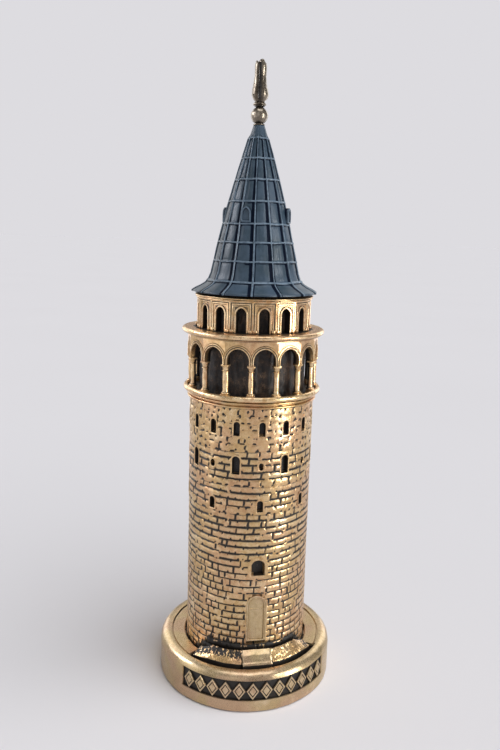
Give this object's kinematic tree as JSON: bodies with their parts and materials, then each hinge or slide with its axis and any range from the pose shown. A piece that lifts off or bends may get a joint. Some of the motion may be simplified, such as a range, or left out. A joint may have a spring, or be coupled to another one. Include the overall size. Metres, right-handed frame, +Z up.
{
  "type": "souvenir tower figurine",
  "caption": "Cast souvenir model of a round masonry tower with arcaded gallery, windowed lantern, ribbed conical roof and finial on a round plinth",
  "frame": {"origin": "centre of the felt underside, on the tower's axis, at the height of the surface it stands on", "axes": "+Z up along the tower's axis, -Y out of the door, +X to the right of someone facing the door"},
  "size_m": [0.0584, 0.0584, 0.2],
  "materials": {
    "gold_resin": "antique pale gold metallic paint over cast resin, black-brown wash in the recesses",
    "dark_resin": "matte black-brown wash with faint gold dry brushing",
    "slate_resin": "satin slate-blue paint, dry brushed lighter on the ribs and navy in the grooves",
    "finial_bronze": "dark antique bronze, glossy",
    "pin_steel": "plain drawn wire",
    "felt": "dark pressed felt"
  },
  "bodies": {
    "root": {"felt_pad": "felt", "base_plinth": "gold_resin", "entrance_apron": "gold_resin", "entrance_slab": "gold_resin", "tower_shaft": "gold_resin", "door_panel": "gold_resin", "lower_gallery": "gold_resin", "arcade_core": "dark_resin", "arcade_ring": "gold_resin", "upper_gallery": "gold_resin", "lantern_core": "dark_resin", "lantern_drum": "gold_resin", "cornice_ring": "gold_resin", "roof_cone": "slate_resin", "roof_dormers": "slate_resin", "finial_pin": "pin_steel", "finial_ball": "finial_bronze", "finial_bud": "finial_bronze"}
  },
  "joints": []
}
